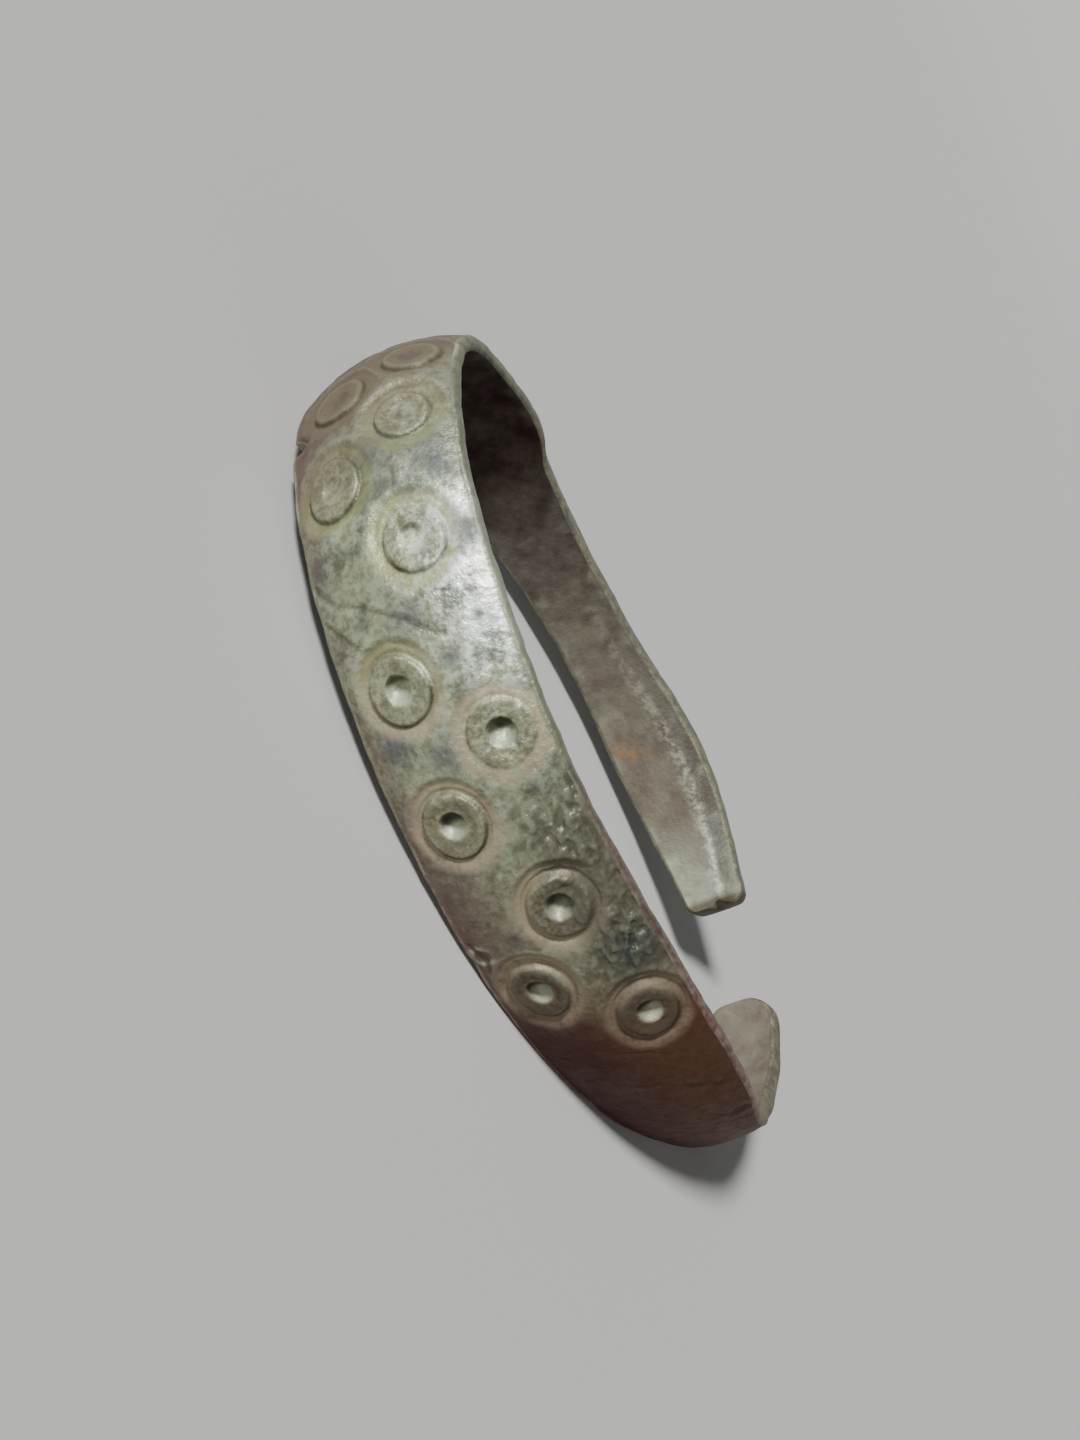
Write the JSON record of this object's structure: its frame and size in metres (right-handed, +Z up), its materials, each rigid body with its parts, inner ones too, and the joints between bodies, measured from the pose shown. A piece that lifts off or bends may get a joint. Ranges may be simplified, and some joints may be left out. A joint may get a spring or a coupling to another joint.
{
  "type": "bronze bracelet",
  "caption": "Open bronze bracelet with a domed panel of punched ring-and-dot marks and plain narrower arms, worn, chipped and patinated.",
  "frame": {"origin": "centre of the bracelet's outline on the surface it lies on", "axes": "+Z up along the wrist opening with the bracelet lying on its edge line, +X along the long way of its oval, the decorated panel towards -Y and -X"},
  "size_m": [0.0676, 0.0436, 0.0138],
  "materials": {
    "bronze": "patinated"
  },
  "bodies": {
    "root": {"bracelet": "bronze"}
  },
  "joints": []
}
